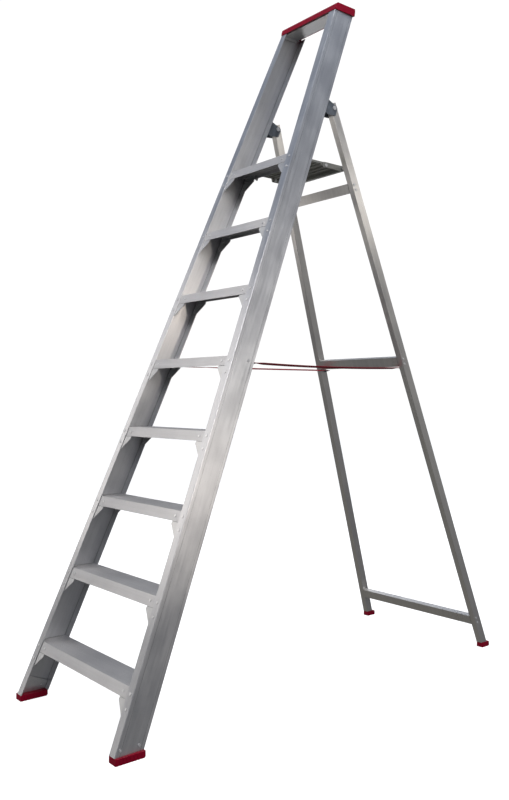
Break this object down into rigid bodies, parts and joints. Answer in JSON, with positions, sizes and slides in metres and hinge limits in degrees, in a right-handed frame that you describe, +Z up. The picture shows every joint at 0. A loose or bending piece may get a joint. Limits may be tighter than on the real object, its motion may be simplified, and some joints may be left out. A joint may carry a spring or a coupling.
{
  "type": "platform step ladder",
  "caption": "Tall aluminium platform step ladder with tapered channel stiles, folding rear frame, two-part folding deck, red cap, feet and stay straps.",
  "frame": {"origin": "middle of the footprint on the floor", "axes": "+Z up, +Y towards the rear legs, +X to the ladder's near side as seen by someone in front facing the rear: right"},
  "size_m": [0.695, 1.815, 2.58],
  "materials": {
    "stile": "satin extruded",
    "tread": "satin extruded",
    "gusset": "satin pressed sheet",
    "rear_tube": "satin extruded",
    "deck": "satin extruded",
    "rivet": "semi-bright",
    "bracket": "dark slate satin",
    "red_plastic": "moulded satin",
    "webbing": "woven webbing"
  },
  "bodies": {
    "front_frame": {"left_stile": "stile", "right_stile": "stile", "tread_1": "tread", "tread_2": "tread", "tread_3": "tread", "tread_4": "tread", "tread_5": "tread", "tread_6": "tread", "tread_7": "tread", "tread_8": "tread", "front_gussets": "gusset", "rear_gussets": "gusset", "front_rivets": "rivet", "rear_rivets": "rivet", "top_tread": "tread", "top_cap": "red_plastic", "left_front_foot": "red_plastic", "right_front_foot": "red_plastic", "foot_plates": "gusset", "foot_rivets": "rivet", "left_hinge_bracket": "bracket", "right_hinge_bracket": "bracket", "hinge_pins": "rivet", "hinge_rivets": "rivet", "platform_brackets": "gusset", "platform_pins": "rivet", "left_strap": "webbing", "right_strap": "webbing", "front_strap_anchors": "bracket"},
    "rear_frame": {"left_rear_leg": "rear_tube", "right_rear_leg": "rear_tube", "rear_top_bar": "rear_tube", "rear_middle_bar": "rear_tube", "rear_bottom_bar": "rear_tube", "bar_rivets": "rivet", "left_rear_foot": "red_plastic", "right_rear_foot": "red_plastic", "deck_stub_pins": "rivet", "rear_strap_anchors": "bracket"},
    "deck_front": {"front_deck": "deck", "knee_pins": "rivet"},
    "deck_rear": {"rear_deck": "deck"}
  },
  "joints": [
    {"name": "rear_fold", "type": "hinge", "parent": "front_frame", "child": "rear_frame", "pos_m": [0, 0.13641, 2.15783], "axis": [-1, 0, 0], "range_deg": [0, 41.82], "deforming": ["left_strap", "right_strap"]},
    {"name": "deck_lift", "type": "hinge", "parent": "front_frame", "child": "deck_front", "pos_m": [0, 0.0275, 1.9447], "axis": [1, 0, 0], "range_deg": [0, 79.4]},
    {"name": "deck_knee", "type": "hinge", "parent": "deck_front", "child": "deck_rear", "pos_m": [0, 0.1225, 1.9447], "axis": [-1, 0, 0], "range_deg": [0, 165.61]}
  ],
  "couplings": [
    {"joint": "deck_lift", "follows": "rear_fold", "ratio": 1.8973},
    {"joint": "deck_knee", "follows": "rear_fold", "ratio": 3.9589}
  ]
}
